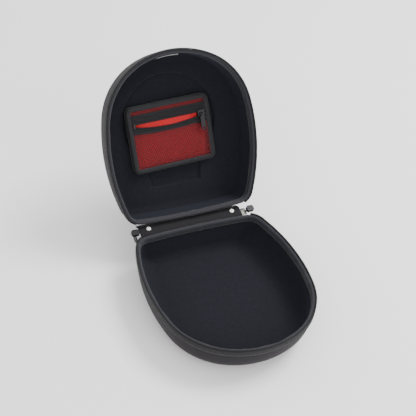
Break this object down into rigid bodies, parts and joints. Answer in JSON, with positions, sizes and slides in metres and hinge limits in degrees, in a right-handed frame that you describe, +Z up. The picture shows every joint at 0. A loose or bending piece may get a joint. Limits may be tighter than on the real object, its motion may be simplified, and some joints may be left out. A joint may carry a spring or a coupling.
{
  "type": "headphone carrying case",
  "caption": "Moulded zip-round hard case for over-ear headphones, shown open, with a fabric spine, a carry handle and a zipped mesh pocket in the lid.",
  "frame": {"origin": "middle of the underside that the base stands on", "axes": "+Z up, X along the hinge, +Y towards the hinge and the open lid, front of the case at -Y"},
  "size_m": [0.2154, 0.3874, 0.2492],
  "materials": {
    "outer_fabric": "matte",
    "lining_fabric": "matte",
    "binding_ribbon": "matte",
    "zipper_tape": "matte",
    "zipper_coil": "satin",
    "pocket_red_fabric": "matte",
    "piping_ribbon": "matte",
    "pocket_mesh": "matte",
    "black_metal": "satin",
    "bright_metal": "satin",
    "label_fabric": "matte",
    "webbing": "matte"
  },
  "bodies": {
    "base": {"base_shell": "outer_fabric", "base_lining": "lining_fabric", "base_rim_binding": "binding_ribbon", "base_zipper_tape": "zipper_tape", "base_zipper_coil": "zipper_coil", "spine_flange_base": "outer_fabric"},
    "spine": {"hinge_strip": "outer_fabric", "hinge_lining": "lining_fabric", "rivet_domes": "bright_metal", "rivet_caps": "black_metal", "carry_handle": "webbing", "left_slider": "black_metal", "right_slider": "black_metal"},
    "left_pull": {"left_pull_tab": "bright_metal"},
    "right_pull": {"right_pull_tab": "bright_metal"},
    "lid": {"lid_shell": "outer_fabric", "lid_lining": "lining_fabric", "lid_rim_binding": "binding_ribbon", "lid_zipper_tape": "zipper_tape", "lid_zipper_coil": "zipper_coil", "spine_flange_lid": "outer_fabric", "pocket_backing": "pocket_red_fabric", "pocket_piping": "piping_ribbon", "pocket_mesh_strip": "pocket_mesh", "pocket_mesh_panel": "pocket_mesh", "pocket_tape_upper": "zipper_tape", "pocket_tape_lower": "zipper_tape", "pocket_coil_upper": "zipper_coil", "pocket_coil_lower": "zipper_coil", "pocket_zip_stop": "black_metal", "woven_label": "label_fabric"},
    "pocket_slider": {"pocket_slider": "black_metal"},
    "pocket_pull": {"pocket_pull_tab": "black_metal"}
  },
  "joints": [
    {"name": "lid_hinge", "type": "hinge", "parent": "spine", "child": "lid", "pos_m": [0, 0.1309, 0.04683], "axis": [-1, 0, 0], "range_deg": [-42, 0]},
    {"name": "spine_hinge", "type": "hinge", "parent": "base", "child": "spine", "pos_m": [0, 0.11525, 0.0435], "axis": [-1, 0, 0], "range_deg": [-78, 0]},
    {"name": "left_pull_hinge", "type": "hinge", "parent": "spine", "child": "left_pull", "pos_m": [-0.0822, 0.12374, 0.04203], "axis": [0, 0.9781, 0.208], "range_deg": [-60, 85]},
    {"name": "right_pull_hinge", "type": "hinge", "parent": "spine", "child": "right_pull", "pos_m": [0.0852, 0.12374, 0.04203], "axis": [0, -0.9781, -0.208], "range_deg": [0, 170]},
    {"name": "pocket_slide", "type": "slide", "parent": "lid", "child": "pocket_slider", "axis": [-0.9991, -0.021, -0.036], "range_m": [0, 0.09]},
    {"name": "pocket_pull_hinge", "type": "hinge", "parent": "pocket_slider", "child": "pocket_pull", "pos_m": [0.04274, 0.21932, 0.15066], "axis": [-0.9991, -0.021, -0.036], "range_deg": [0, 150]}
  ],
  "couplings": [
    {"joint": "spine_hinge", "follows": "lid_hinge", "ratio": 1.8571}
  ]
}
